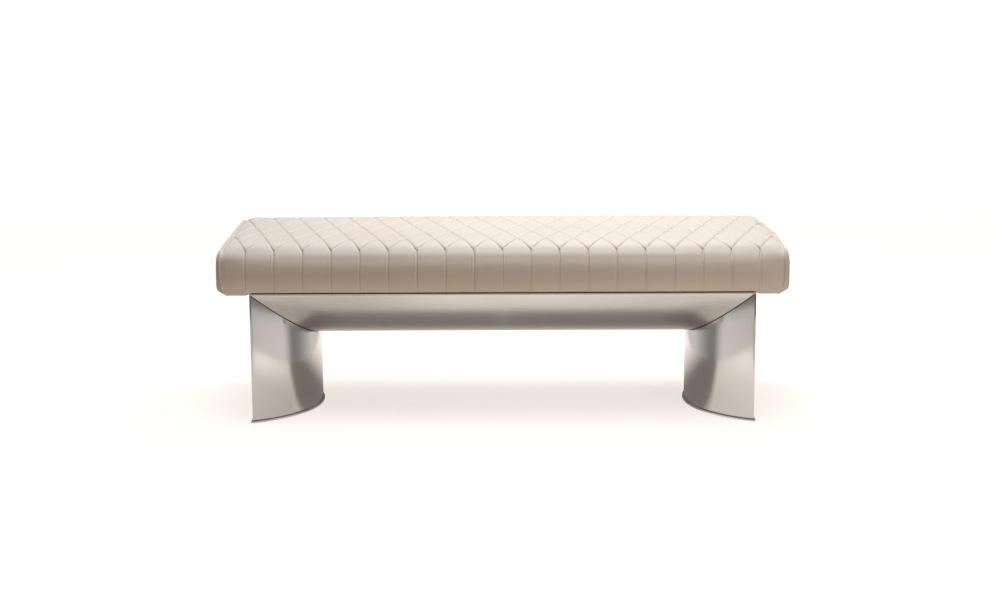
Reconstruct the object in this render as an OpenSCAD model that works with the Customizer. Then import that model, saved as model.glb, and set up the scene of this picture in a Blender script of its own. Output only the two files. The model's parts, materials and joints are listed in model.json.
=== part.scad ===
// Long upholstered bench: a quilted leather cushion on a half-round sheet metal base.
// Millimetres. +X runs along the bench, -Y is the front, +Z is up, and Z = 0 is the floor.

/* [Cushion] */
// Overall length of the cushion, over both end panels
cushion_l = 1400; // [1320:10:1500]
// Depth of the cushion, from the front face to the rear face
cushion_d = 466; // [440:2:500]
// Height of the front face, from the underside to the top edge
cushion_h = 106; // [95:1:120]
// Rise of the seat from its front edge to the middle of its depth
crown_h = 12; // [4:1:20]
// Rise of the seat from its ends to the middle of its length
crown_len_h = 3; // [2:0.5:6]
// How far a sewn tuft stands above its seams
tuft_h = 5; // [2:0.5:8]
// How deep the sewn channels of the front and rear faces are
channel_h = 4; // [2:0.5:6]
// How far the end panels bulge past the end seams
end_bulge = 8; // [5:0.5:12]
// How far the padding hangs down past the ends of the base
end_dip = 8; // [4:0.5:12]
// How far the faces are drawn in at the end seams
end_draw = 2.5; // [1:0.5:4]
// How far the top edge rounds down at the end seams
end_drop = 5; // [2:0.5:6]
// Radius of the rolled front and rear top edges
edge_roll = 17; // [13:1:19]
// Number of channels sewn into the front face
front_channels = 19; // [15:2:23]
// Rows of half diamonds across the seat
diamond_rows = 5; // [3:2:7]
// Width of the piping along the end seams
piping_w = 6; // [4:0.5:9]
// How far the piping stands proud of the leather
piping_h = 3; // [2:0.5:4]

/* [Inside the cushion] */
// Thickness of the plywood seat board
board_t = 18; // [12:1:24]
// Thickness of the leather and its quilting foam at the edges
cover_t = 13; // [12.5:0.5:16]
// Thickness of the wadding round the foam core
wadding_t = 8; // [4:1:14]
// Thickness of the hems and of the cloth under the board
cloth_t = 1.5; // [1:0.25:3]
// How far the stapled hem bands reach in from the front and rear faces
hem_w = 40; // [39:1:48]
// Width of the leather's own hem, front and rear, which the bands are sewn to
leather_hem_w = 17; // [14:1:19]
// Width of the soft strip under each free end
end_hem_w = 34; // [26:1:36]

/* [Base] */
// How far the cushion reaches past the base at each end
end_overhang = 78; // [74:1:110]
// How far the base stays behind the front and rear faces of the cushion
base_setback = 6; // [4:0.5:9]
// Height of the base's top face above the floor
base_h = 325; // [300:5:380]
// Depth of the half-round section of the legs, along the bench
leg_bulge = 152; // [130:1:170]
// Height of the half-round section of the beam
beam_bulge = 135; // [120:1:150]
// Thickness of the bent sheet
sheet_t = 3; // [2:0.5:4]
// Thickness of the flat closing panels of the legs
panel_t = 4; // [3:0.5:6]
// Thickness of the top plate
top_plate_t = 3; // [2.5:0.5:5]
// Thickness of the mitre frames in the two corners
mitre_t = 3; // [2:0.5:4]
// How far the mitre frames stay behind the outer surface
mitre_recess = 1.2; // [0.8:0.1:1.8]
// Thickness of the stiffening ribs
rib_t = 4; // [3:0.5:6]

/* [Feet] */
// Thickness of the foot plates
foot_plate_t = 3; // [3:0.5:5]
// How far the foot plates stand proud of the legs
foot_proud = 4; // [2:0.5:7]
// Thickness of the gaskets between legs and foot plates
gasket_t = 1.2; // [0.8:0.1:2]
// How far the gaskets stay behind the outer surface
gasket_recess = 1.2; // [0.8:0.1:2]
// Thickness of the glide pads under the foot plates
glide_t = 1.5; // [1:0.25:4]
// How far the glide pads stay inside the legs' outline
glide_inset = 5; // [3:0.5:10]
// Thickness of the threaded foot flanges inside the legs
foot_flange_t = 5; // [4:0.5:8]

/* [Fixings] */
// Thickness of the spacer strips between base and cushion
spacer_t = 3.5; // [2:0.5:5]
// Width of the front and rear spacer strips
spacer_w = 16; // [12:1:17]
// How far the spacer strips stay behind the edges of the base
spacer_inset = 6; // [4:0.5:7]
// Diameter of the wood screws that hold the seat board
seat_screw_d = 5; // [4:0.5:6]
// How deep those screws go into the seat board
seat_screw_bite = 10; // [8:1:11]
// Diameter of the screws of the foot plates
foot_screw_d = 5; // [4:0.5:6]
// Width of a staple
staple_w = 10; // [8:1:12]
// Number of staples in each long hem
staples_per_hem = 14; // [8:2:24]

/* [Hidden] */
$fn = 48;
arc_fn = 240;

// Overrun of every cut
cut = 5;
// Running clearance round screws and ribs, on each side
clear = 0.3;

// Heights, from the floor up
plate_top_z = glide_t + foot_plate_t;
leg_z = plate_top_z + gasket_t;
chord_z = base_h - top_plate_t;
under_z = base_h + spacer_t;
board_z = under_z + cloth_t;
foam_z = board_z + board_t;
edge_z = under_z + cushion_h;
cavity_z = edge_z - cover_t;

// Half sizes
cushion_hd = cushion_d / 2;
core_hd = cushion_hd - cover_t;
end_x = cushion_l / 2 - end_bulge;
hem_y = cushion_hd - hem_w;
leather_y = cushion_hd - leather_hem_w;
base_hl = cushion_l / 2 - end_overhang;
base_hd = cushion_hd - base_setback;
base_l = 2 * base_hl;
base_d = 2 * base_hd;
reach = base_l + cushion_l;

// The top plate reaches past the legs, under the cushion's free ends, and carries the seat screws
flange_gap = 2.5;
flange_hd = hem_y - flange_gap;
flange_w = end_x - end_hem_w - flange_gap - base_hl;
spacer_in_y = base_hd - spacer_inset - spacer_w;

// The legs' section is an arc of a circle whose chord the closing panel covers. The beam's section is
// the same arc, made flatter by bulge_share, so that both meet on the mitre plane.
leg_sag = leg_bulge - panel_t;
leg_r = (base_hd * base_hd + leg_sag * leg_sag) / (2 * leg_sag);
beam_sag = beam_bulge - top_plate_t;
bulge_share = beam_bulge / leg_bulge;
mitre_angle = atan(bulge_share);
section_steps = 72;
section_angle = 1.08 * asin(base_hd / leg_r);

// Rib and screw places, as shares of what they follow
beam_rib_share = 0.27;
rib_hole_share = 0.42;
foot_screw_shares = [[0.2, -0.66], [0.2, 0.66], [0.74, 0]];
seat_screw_shares = [-0.72, -0.26, 0.26, 0.72];

// Screw heads
seat_head_d = 2 * seat_screw_d;
seat_head_h = 0.6 * seat_screw_d;
foot_head_d = 2 * foot_screw_d;
foot_screw_tip = 1.5;

// Staples are bent from square wire, with their crowns under the hems
staple_wire = 0.9;
staple_leg = 7;
staple_y = (hem_y + spacer_in_y) / 2;

// Quilting
// One pitch holds one channel of the front face, and each end section is a share of a pitch
end_section_share = 0.88;
pitch = 2 * end_x / (front_channels - 1 + 2 * end_section_share);
row_d = (cushion_d - 2 * edge_roll) / diamond_rows;
// The pattern gets this much narrower from one row to the next, towards the rear
ease_share = 0.0106;
// Rows down the front and rear faces, as shares of the face height, with their seam depths
face_row_shares = [0.86, 0.2];
channel_shares = [1, 0.5];
face_bulge_shares = [0.4, 1];
low_row = len(face_row_shares) - 1;
face_bulge = 1.5;
// Heights of the tufts between their seams, and at the rolled edges
mid_tuft_share = 0.62;
edge_tuft_share = 0.3;
// Bottom roll of the faces
bottom_roll = 8;
// Where the padding starts to hang down, past the ends of the base
dip_start = base_hl + clear;
dip_ramp = 2 * end_dip;
// Length over which the top edge rounds down and the faces are drawn in
end_round = pitch / 2;
// Straight band at each end seam, which the piping lies on
seam_band = piping_w / 2 + clear;

function ramp(t) = t <= 0 ? 0 : t >= 1 ? 1 : t * t * (3 - 2 * t);
function dip(x) = end_dip * ramp((abs(x) - dip_start) / dip_ramp);
function near_end(x) = ramp((abs(x) - (end_x - seam_band - end_round)) / end_round);
function flat_x(x) = min(abs(x), end_x - seam_band);
function row_y(k) = -cushion_hd + edge_roll + k * row_d;
function row_scale(k) = 1 - ease_share * k;

// Height of the seat where a seam lies
function seam_z(x, y) = edge_z
    + crown_h * (1 - pow(y / (cushion_hd - edge_roll), 2))
    + crown_len_h * (1 - pow(flat_x(x) / end_x, 2))
    - end_drop * near_end(x);

// Half steps of the pattern that fit between the two end bands
half_steps = front_channels;
function is_crossing(m, k) = (abs(m) + k) % 2 == 0;
function is_edge_row(k) = k == 0 || k == diamond_rows;
function tuft_at(m, k) = is_crossing(m, k) ? 0 : tuft_h * (is_edge_row(k) ? edge_tuft_share : 1);

// One row of the seat: the end seam, its band, the pattern's half steps, and again band and seam
function top_row(k) = let (y = row_y(k), s = row_scale(k)) concat(
    [[-end_x, y, seam_z(end_x, y)], [-end_x + seam_band, y, seam_z(end_x, y)]],
    [for (m = [-half_steps:half_steps]) let (x = m * pitch / 2 * s)
        [x, y, seam_z(x, y) + tuft_at(m, k)]],
    [[end_x - seam_band, y, seam_z(end_x, y)], [end_x, y, seam_z(end_x, y)]]);

// One row of a face. side is -1 at the front and 1 at the rear, where the seams lie half a pitch off
function face_depth(m, i, side) = let (k = side < 0 ? 0 : diamond_rows)
    is_crossing(m, k) ? -channel_h * channel_shares[i] : face_bulge * face_bulge_shares[i];
function face_point(x, side, i, out) = [x, side * (cushion_hd + out - end_draw * near_end(x)),
    under_z + cushion_h * face_row_shares[i]
        - (i == low_row ? dip(x) : 0) - (i == 0 ? end_drop * near_end(x) : 0)];
function face_row(side, i) = let (k = side < 0 ? 0 : diamond_rows, s = row_scale(k)) concat(
    [face_point(-end_x, side, i, 0), face_point(-end_x + seam_band, side, i, 0)],
    [for (m = [-half_steps:half_steps]) let (x = m * pitch / 2 * s)
        face_point(x, side, i, face_depth(m, i, side) - face_bulge)],
    [face_point(end_x - seam_band, side, i, 0), face_point(end_x, side, i, 0)]);

// Rows of the underside follow the ends of the base, where the padding starts to hang down
right_dip_xs = [dip_start, dip_start + dip_ramp / 2, dip_start + dip_ramp, end_x - seam_band, end_x];
left_dip_xs = [for (i = [len(right_dip_xs) - 1:-1:0]) -right_dip_xs[i]];
dip_xs = concat(left_dip_xs, right_dip_xs);
function roll_xs(s) = concat(left_dip_xs,
    [for (m = [-half_steps:half_steps]) let (x = m * pitch / 2 * s) if (abs(x) < dip_start - clear) x],
    right_dip_xs);
function roll_row(side) = [for (x = roll_xs(row_scale(side < 0 ? 0 : diamond_rows)))
    [x, side * (cushion_hd - bottom_roll - end_draw * near_end(x)), under_z - dip(x)]];
function hem_row(side) = [for (x = dip_xs) [x, side * leather_y, under_z - dip(x)]];
function line_row(y, z) = [[-end_x, y, z], [end_x, y, z]];

// The cover's rows run round its C-shaped section: over the outside, and back along the inside
cover_rows = concat(
    [hem_row(-1), roll_row(-1)],
    [for (i = [low_row:-1:0]) face_row(-1, i)],
    [for (k = [0:diamond_rows]) top_row(k)],
    [for (i = [0:low_row]) face_row(1, i)],
    [roll_row(1), hem_row(1)],
    [line_row(leather_y, board_z), line_row(core_hd, board_z), line_row(core_hd, cavity_z),
        line_row(-core_hd, cavity_z), line_row(-core_hd, board_z), line_row(-leather_y, board_z)]);
first_top_row = 3 + low_row;
cavity_rows = 6;
rows_n = len(cover_rows);
row_sizes = [for (r = cover_rows) len(r)];
function sum_to(v, n) = n <= 0 ? 0 : v[n - 1] + sum_to(v, n - 1);
row_starts = [for (r = [0:rows_n]) sum_to(row_sizes, r)];
columns_n = len(top_row(0));

// Triangles between two rows that both run from left to right
function strip(a, b, ia, ib, i = 0, j = 0) =
    i == len(a) - 1 && j == len(b) - 1 ? [] :
    j == len(b) - 1 || (i < len(a) - 1 && a[i + 1].x <= b[j + 1].x)
        ? concat([[ia + i, ia + i + 1, ib + j]], strip(a, b, ia, ib, i + 1, j))
        : concat([[ia + i, ib + j + 1, ib + j]], strip(a, b, ia, ib, i, j + 1));

// Cells of the seat: each is cut along its seam, and each half is raised at its middle
function lower_left_seam(c, k) = is_crossing(c - 2 - half_steps, k);
function cell_seams(c, k) = lower_left_seam(c, k)
    ? [[[0, 0], [1, 0], [1, 1]], [[0, 0], [1, 1], [0, 1]]]
    : [[[0, 0], [1, 0], [0, 1]], [[1, 0], [1, 1], [0, 1]]];
pattern_cells = [for (k = [0:diamond_rows - 1]) for (c = [1:columns_n - 3]) [c, k]];
band_cells = [for (k = [0:diamond_rows - 1]) for (c = [0, columns_n - 2]) [c, k]];
function cell_point(c, k, o) = cover_rows[first_top_row + k + o.y][c + o.x];
function cell_index(c, k, o) = row_starts[first_top_row + k + o.y] + c + o.x;
raised_n = 2 * len(pattern_cells);
raised_start = row_starts[rows_n];
raised_points = [for (cell = pattern_cells) for (t = cell_seams(cell.x, cell.y))
    let (p = [for (o = t) cell_point(cell.x, cell.y, o)], m = (p[0] + p[1] + p[2]) / 3)
        [m.x, m.y, seam_z(m.x, m.y) + tuft_h * mid_tuft_share]];
raised_faces = [for (i = [0:len(pattern_cells) - 1]) for (j = [0, 1]) for (e = [0:2])
    let (cell = pattern_cells[i], t = cell_seams(cell.x, cell.y)[j])
        [cell_index(cell.x, cell.y, t[e]), cell_index(cell.x, cell.y, t[(e + 1) % 3]),
            raised_start + 2 * i + j]];
band_faces = [for (cell = band_cells) for (t = cell_seams(cell.x, cell.y))
    [for (o = t) cell_index(cell.x, cell.y, o)]];
last_top_row = first_top_row + diamond_rows;
row_faces = [for (r = [0:rows_n - 1]) if (r < first_top_row || r >= last_top_row)
    let (n = (r + 1) % rows_n)
        for (f = strip(cover_rows[r], cover_rows[n], row_starts[r], row_starts[n])) f];
cap_faces = [[for (r = [0:rows_n - 1]) row_starts[r]],
    [for (r = [rows_n - 1:-1:0]) row_starts[r] + row_sizes[r] - 1]];
cover_points = concat([for (r = cover_rows) for (p = r) p], raised_points);
function turned(f) = [for (i = [len(f) - 1:-1:0]) f[i]];
cover_faces = [for (f = concat(row_faces, raised_faces, band_faces, cap_faces)) turned(f)];

// Outline of the cushion at its end seams, as points of Y and Z, front underside first
end_outline = [for (r = [0:rows_n - cavity_rows - 1]) let (p = cover_rows[r][0]) [p.y, p.z]];
outline_n = len(end_outline);
panel_outline = [for (i = [1:outline_n - 2]) end_outline[i]];
outline_mid = [0, (under_z + edge_z) / 2];
function outward(i) = let (t = end_outline[i + 1] - end_outline[i - 1]) [-t.y, t.x] / norm(t);
function drawn_in(p, g) = [p.x * (1 - g / cushion_hd),
    outline_mid.y + (p.y - outline_mid.y) * (1 - 2 * g / cushion_h)];

// Half-round section of a leg, x from the closing panel inwards. from is where it starts.
module leg_section(inset, from) {
    intersection() {
        translate([leg_sag - leg_r, 0]) circle(r = leg_r - inset, $fn = arc_fn);
        translate([from, -base_hd + min(inset, 0)])
            square([reach, base_d - 2 * min(inset, 0)]);
    }
}

// The same for the beam, x from its top face down
function beam_point(t, inset) = let (d = [bulge_share * sin(t), cos(t)])
    [bulge_share * (panel_t + leg_sag - leg_r + leg_r * cos(t)), leg_r * sin(t)]
        - inset * [d.y, d.x] / norm(d);
module beam_section(inset) {
    intersection() {
        polygon([for (i = [-section_steps:section_steps])
            beam_point(i / section_steps * section_angle, inset)]);
        translate([top_plate_t, -base_hd]) square([reach, base_d]);
    }
}

module on_right_leg(z) {
    translate([base_hl - panel_t, 0, z]) mirror([1, 0, 0]) children();
}

module leg_solid(inset, z, h) {
    on_right_leg(z) linear_extrude(h) leg_section(inset, 0);
}

module beam_solid(inset, x, l) {
    translate([x, 0, base_h]) rotate([90, 0, 90]) linear_extrude(l) rotate(-90) beam_section(inset);
}

// Outline of a leg with its closing panel, larger by grow on every side
module leg_outline(grow) {
    leg_section(-grow, -panel_t - grow);
}

// Slab parallel to the right corner's mitre plane, from a to b above it
module mitre_slab(a, b) {
    translate([base_hl, 0, base_h]) rotate([0, -mitre_angle, 0])
        translate([-reach, -reach / 2, a]) cube([2 * reach, reach, b - a]);
}

module both_sides(left) {
    mirror([left ? 1 : 0, 0, 0]) children();
}

module foot_screw_places() {
    for (s = foot_screw_shares)
        on_right_leg(0) translate([s.x * leg_sag, s.y * base_hd, 0]) children();
}

module seat_screw_places() {
    for (side = [-1, 1]) for (s = seat_screw_shares)
        translate([side * (base_hl + flange_w / 2), s * flange_hd, 0]) children();
}

module base_top_plate() {
    color("silver") difference() {
        translate([0, 0, chord_z]) linear_extrude(top_plate_t) {
            square([base_l, base_d], center = true);
            square([base_l + 2 * flange_w, 2 * flange_hd], center = true);
        }
        seat_screw_places() translate([0, 0, chord_z - cut])
            cylinder(d = seat_screw_d + 2 * clear, h = top_plate_t + 2 * cut);
    }
}

module beam_shell() {
    color("silver") intersection() {
        difference() {
            beam_solid(0, -base_hl, base_l);
            beam_solid(sheet_t, -base_hl - cut, base_l + 2 * cut);
        }
        mitre_slab(mitre_t / 2, reach);
        mirror([1, 0, 0]) mitre_slab(mitre_t / 2, reach);
    }
}

module leg_shell(left) {
    color("silver") both_sides(left) intersection() {
        difference() {
            leg_solid(0, leg_z, chord_z - leg_z);
            leg_solid(sheet_t, leg_z - cut, chord_z - leg_z + 2 * cut);
        }
        mitre_slab(-reach, -mitre_t / 2);
    }
}

module leg_panel(left) {
    color("gainsboro") both_sides(left) translate([base_hl - panel_t, -base_hd, leg_z])
        cube([panel_t, base_d, chord_z - leg_z]);
}

module mitre_frame(left) {
    hole_r = rib_hole_share * beam_sag / 2;
    color("dimgray") both_sides(left) difference() {
        intersection() {
            leg_solid(mitre_recess, leg_z, chord_z - leg_z);
            beam_solid(mitre_recess, -base_hl, base_l);
            mitre_slab(-mitre_t / 2, mitre_t / 2);
        }
        translate([base_hl - leg_bulge / 2, 0, base_h - beam_bulge / 2])
            rotate([0, -mitre_angle, 0]) translate([0, 0, -mitre_t - cut])
                cylinder(r = hole_r, h = 2 * (mitre_t + cut));
    }
}

module beam_rib(place) {
    color("gray") difference() {
        beam_solid(sheet_t + clear, place * base_l - rib_t / 2, rib_t);
        translate([place * base_l - rib_t / 2 - cut, 0, chord_z - beam_sag / 2])
            rotate([0, 90, 0]) cylinder(d = rib_hole_share * beam_sag, h = rib_t + 2 * cut);
    }
}

module leg_rib(left) {
    z = (leg_z + base_h - beam_bulge) / 2;
    color("gray") both_sides(left) difference() {
        leg_solid(sheet_t + clear, z - rib_t / 2, rib_t);
        on_right_leg(z - rib_t / 2 - cut) translate([leg_sag / 2, 0, 0])
            cylinder(d = rib_hole_share * leg_sag, h = rib_t + 2 * cut);
    }
}

module foot_flange(left) {
    color("gray") both_sides(left) difference() {
        leg_solid(sheet_t + clear, leg_z, foot_flange_t);
        foot_screw_places() translate([0, 0, leg_z - cut])
            cylinder(d = foot_screw_d + clear, h = foot_flange_t + 2 * cut);
    }
}

module foot_gasket(left) {
    color("black") both_sides(left) difference() {
        on_right_leg(plate_top_z) linear_extrude(gasket_t) leg_outline(-gasket_recess);
        foot_screw_places() translate([0, 0, plate_top_z - cut])
            cylinder(d = foot_screw_d + 2 * clear, h = gasket_t + 2 * cut);
    }
}

module foot_plate(left) {
    color("silver") both_sides(left) difference() {
        on_right_leg(glide_t) linear_extrude(foot_plate_t) leg_outline(foot_proud);
        foot_screw_places() {
            translate([0, 0, glide_t - cut])
                cylinder(d = foot_screw_d + 2 * clear, h = foot_plate_t + 2 * cut);
            translate([0, 0, glide_t]) cylinder(d1 = foot_head_d + 2 * clear,
                d2 = foot_screw_d + 2 * clear, h = foot_head_d / 2 - foot_screw_d / 2);
        }
    }
}

module foot_screws() {
    shank_h = foot_plate_t + gasket_t + foot_flange_t + foot_screw_tip;
    color("gray") for (left = [false, true]) both_sides(left) foot_screw_places()
        translate([0, 0, glide_t]) {
            cylinder(d1 = foot_head_d, d2 = foot_screw_d, h = foot_head_d / 2 - foot_screw_d / 2);
            cylinder(d = foot_screw_d, h = shank_h);
        }
}

module glide_pad(left) {
    color("black") both_sides(left)
        on_right_leg(0) linear_extrude(glide_t) leg_outline(-glide_inset);
}

module long_spacer(side) {
    y = side < 0 ? -spacer_in_y - spacer_w : spacer_in_y;
    color("black") translate([-base_hl + spacer_inset, y, base_h])
        cube([base_l - 2 * spacer_inset, spacer_w, spacer_t]);
}

module end_spacer(side) {
    half = flange_hd - spacer_inset;
    color("black") difference() {
        translate([side < 0 ? -base_hl - flange_w + clear : base_hl - spacer_w, -half, base_h])
            cube([flange_w + spacer_w - clear, 2 * half, spacer_t]);
        seat_screw_places() translate([0, 0, base_h - cut])
            cylinder(d = seat_screw_d + 2 * clear, h = spacer_t + 2 * cut);
    }
}

module seat_screws() {
    shank_h = top_plate_t + spacer_t + cloth_t + seat_screw_bite;
    color("gray") seat_screw_places() {
        translate([0, 0, chord_z - seat_head_h]) cylinder(d = seat_head_d, h = seat_head_h);
        translate([0, 0, chord_z - seat_head_h])
            cylinder(d = seat_screw_d, h = seat_head_h + shank_h);
    }
}

module staple_places() {
    for (side = [-1, 1]) for (i = [0:staples_per_hem - 1])
        translate([((i + 0.5) / staples_per_hem - 0.5) * base_l, side * staple_y, under_z]) children();
}

module staple_legs(room, from) {
    for (side = [-1, 1]) translate([side * (staple_w - staple_wire) / 2, 0, 0])
        translate([-staple_wire / 2 - room, -staple_wire / 2 - room, from])
            cube([staple_wire + 2 * room, staple_wire + 2 * room, staple_leg + room - from]);
}

module hem_staples() {
    color("gray") staple_places() {
        staple_legs(0, -staple_wire);
        translate([-staple_w / 2, -staple_wire / 2, -staple_wire])
            cube([staple_w, staple_wire, staple_wire]);
    }
}

module seat_board() {
    color("burlywood") difference() {
        translate([-end_x, -core_hd, board_z]) cube([2 * end_x, 2 * core_hd, board_t]);
        seat_screw_places() translate([0, 0, board_z - cut])
            cylinder(d = seat_screw_d + clear, h = seat_screw_bite + clear + cut);
        staple_places() staple_legs(clear / 2, -cut);
    }
}

module core_block(inset) {
    translate([-end_x + inset, -core_hd + inset, foam_z])
        cube([2 * (end_x - inset), 2 * (core_hd - inset), cavity_z - foam_z - inset]);
}

module foam_core() {
    color("khaki") core_block(wadding_t);
}

module wadding_wrap() {
    color("white") difference() {
        core_block(0);
        translate([0, 0, -cut]) core_block(wadding_t);
        core_block(wadding_t);
    }
}

module quilted_cover() {
    color("antiquewhite") polyhedron(points = cover_points, faces = cover_faces, convexity = 6);
}

// Rings of the right end panel, as shares of its bulge and of the width over which it curves:
// the flat back, and the curve up to the middle. The band at the seam comes in between.
panel_ring_shares = [[0.75, 0.3], [1, 1]];
panel_curve = cushion_h / 5;
module end_panel(left) {
    rings = concat([[0, 0], [seam_band, 0]],
        [for (s = panel_ring_shares) [s.x * end_bulge, s.y * panel_curve]]);
    n = len(panel_outline);
    points = [for (r = rings) for (p = panel_outline) let (g = drawn_in(p, r.y)) [end_x + r.x, g.x, g.y]];
    sides = [for (r = [0:len(rings) - 2]) for (i = [0:n - 1])
        let (j = (i + 1) % n, q = [r * n + i, r * n + j, (r + 1) * n + j, (r + 1) * n + i])
            for (t = [[0, 1, 2], [0, 2, 3]]) [for (v = t) q[v]]];
    caps = [[for (i = [n - 1:-1:0]) i], [for (i = [0:n - 1]) (len(rings) - 1) * n + i]];
    color("bisque") both_sides(left) polyhedron(points = points, faces = concat(sides, caps));
}

module end_strip(left) {
    color("bisque") both_sides(left) {
        translate([end_x - end_hem_w, -leather_y, under_z - end_dip])
            cube([end_hem_w, 2 * leather_y, end_dip]);
    }
}

module hem_band(side) {
    color("black") difference() {
        translate([-end_x, side < 0 ? -leather_y : hem_y, under_z])
            cube([2 * end_x, leather_y - hem_y, cloth_t]);
        staple_places() staple_legs(clear / 2, -cut);
    }
}

// Section of the piping: shares of its width along X, and of its height out from the leather
piping_shares = [[-0.4, 0], [-0.5, 0.4], [-0.22, 1], [0.22, 1], [0.5, 0.4], [0.4, 0]];
module piping(left) {
    n = len(piping_shares);
    points = [for (i = [1:outline_n - 2]) for (s = piping_shares)
        let (g = end_outline[i] + s.y * piping_h * outward(i)) [end_x + s.x * piping_w, g.x, g.y]];
    sides = [for (i = [0:outline_n - 4]) for (j = [0:n - 1])
        let (m = (j + 1) % n, q = [i * n + j, i * n + m, (i + 1) * n + m, (i + 1) * n + j])
            for (t = [[0, 1, 2], [0, 2, 3]]) [for (v = t) q[v]]];
    caps = [[for (j = [n - 1:-1:0]) j], [for (j = [0:n - 1]) (outline_n - 3) * n + j]];
    color("wheat") both_sides(left)
        polyhedron(points = points, faces = [for (f = concat(sides, caps)) turned(f)]);
}

module under_cloth() {
    half_l = end_x;
    half_d = hem_y - clear;
    color("black") difference() {
        translate([-half_l, -half_d, under_z]) cube([2 * half_l, 2 * half_d, cloth_t]);
        seat_screw_places() translate([0, 0, under_z - cut])
            cylinder(d = seat_screw_d + 2 * clear, h = cloth_t + 2 * cut);
    }
}

base_top_plate();
beam_shell();
leg_shell(true);  // left_leg_shell
leg_shell(false);  // right_leg_shell
leg_panel(true);  // left_leg_panel
leg_panel(false);  // right_leg_panel
mitre_frame(true);  // left_mitre_frame
mitre_frame(false);  // right_mitre_frame
beam_rib(-beam_rib_share);  // beam_rib_left
beam_rib(0);  // beam_rib_centre
beam_rib(beam_rib_share);  // beam_rib_right
leg_rib(true);  // left_leg_rib
leg_rib(false);  // right_leg_rib
foot_flange(true);  // left_foot_flange
foot_flange(false);  // right_foot_flange
foot_gasket(true);  // left_foot_gasket
foot_gasket(false);  // right_foot_gasket
foot_plate(true);  // left_foot_plate
foot_plate(false);  // right_foot_plate
foot_screws();
glide_pad(true);  // left_glide_pad
glide_pad(false);  // right_glide_pad
long_spacer(-1);  // front_spacer_strip
long_spacer(1);  // rear_spacer_strip
end_spacer(-1);  // left_spacer_strip
end_spacer(1);  // right_spacer_strip
seat_screws();
seat_board();
foam_core();
wadding_wrap();
quilted_cover();
end_panel(true);  // left_end_panel
end_panel(false);  // right_end_panel
piping(true);  // left_piping
piping(false);  // right_piping
end_strip(true);  // left_end_strip
end_strip(false);  // right_end_strip
hem_band(-1);  // front_hem_band
hem_band(1);  // rear_hem_band
under_cloth();
hem_staples();
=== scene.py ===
"""Visual model of a long upholstered bench on a base of half-round sheet metal.

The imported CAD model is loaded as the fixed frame. The cushion's cover, end panels, piping and
stitching, and the visible shells and plates of the base, are modelled here in detail. Every length
is in metres, with +X along the bench to the right, -Y towards the front and +Z up.
"""

import json
import logging
import math
from dataclasses import dataclass
from enum import Enum
from typing import Callable, Iterable, Sequence

import bmesh
import bpy
import numpy as np
from bmesh.types import BMEdge, BMFace, BMVert, BMesh
from bpy.types import ID, Material, Mesh, Node, NodeSocket, NodeTree, Object
from mathutils import Matrix, Vector
from mathutils.kdtree import KDTree


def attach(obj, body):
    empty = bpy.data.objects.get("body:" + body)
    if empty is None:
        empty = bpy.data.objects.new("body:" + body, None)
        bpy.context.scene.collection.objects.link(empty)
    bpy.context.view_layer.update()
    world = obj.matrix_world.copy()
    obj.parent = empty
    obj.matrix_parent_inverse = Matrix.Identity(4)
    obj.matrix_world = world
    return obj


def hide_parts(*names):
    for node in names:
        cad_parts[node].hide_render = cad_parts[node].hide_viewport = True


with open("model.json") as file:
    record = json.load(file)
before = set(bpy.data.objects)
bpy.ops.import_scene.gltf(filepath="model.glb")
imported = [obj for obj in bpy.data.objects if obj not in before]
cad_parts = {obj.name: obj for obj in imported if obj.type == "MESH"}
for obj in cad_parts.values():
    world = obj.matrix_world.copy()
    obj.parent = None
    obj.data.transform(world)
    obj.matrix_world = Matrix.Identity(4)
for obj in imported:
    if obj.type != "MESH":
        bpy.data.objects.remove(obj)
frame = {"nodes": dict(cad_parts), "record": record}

LOG = logging.getLogger("bench")
MM = 0.001
NO_SEAM = 50.0 * MM


class Side(Enum):
    """The two ends of the bench."""

    LEFT = -1
    RIGHT = 1

    @property
    def word(self) -> str:
        """Name of the end, as it stands in the pieces' names."""
        return self.name.lower()


def new_object(name: str, data: ID) -> Object:
    """Links a mesh, curve, light or camera into the scene as an object at the origin.

    Args:
        name: Name of the piece.
        data: What the object holds, with its place in it.

    Returns:
        The new object.
    """
    data.name = name
    obj = bpy.data.objects.new(name, data)
    bpy.context.scene.collection.objects.link(obj)
    return obj


def mesh_from(bm: BMesh, name: str) -> Mesh:
    """Turns a bmesh into a mesh, and frees it.

    Args:
        bm: The finished bmesh.
        name: Name of the mesh.

    Returns:
        The mesh.
    """
    mesh = bpy.data.meshes.new(name)
    bm.to_mesh(mesh)
    bm.free()
    return mesh


def evaluated_mesh(obj: Object) -> Mesh:
    """Gives the mesh of an object with its modifiers applied.

    Args:
        obj: The object.

    Returns:
        A new mesh.
    """
    graph = bpy.context.evaluated_depsgraph_get()
    graph.update()
    return bpy.data.meshes.new_from_object(obj.evaluated_get(graph), depsgraph=graph)


def read_points(mesh: Mesh, what: str = "co") -> np.ndarray:
    """Reads the places of a mesh's vertices, or their normals, as an array of rows."""
    values = np.empty(len(mesh.vertices) * 3, dtype=np.float64)
    mesh.vertices.foreach_get(what, values)
    return values.reshape(-1, 3)


def write_points(mesh: Mesh, points: np.ndarray) -> None:
    """Writes an array of rows back to a mesh's vertices."""
    mesh.vertices.foreach_set("co", points.reshape(-1))
    mesh.update()


def mark_seams(mesh: Mesh, near: np.ndarray) -> None:
    """Keeps the distance to the nearest seam with a leather mesh, in millimetres."""
    attribute = mesh.attributes.new("seam_mm", "FLOAT", "POINT")
    attribute.data.foreach_set("value", (near / MM).astype(np.float32))


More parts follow.
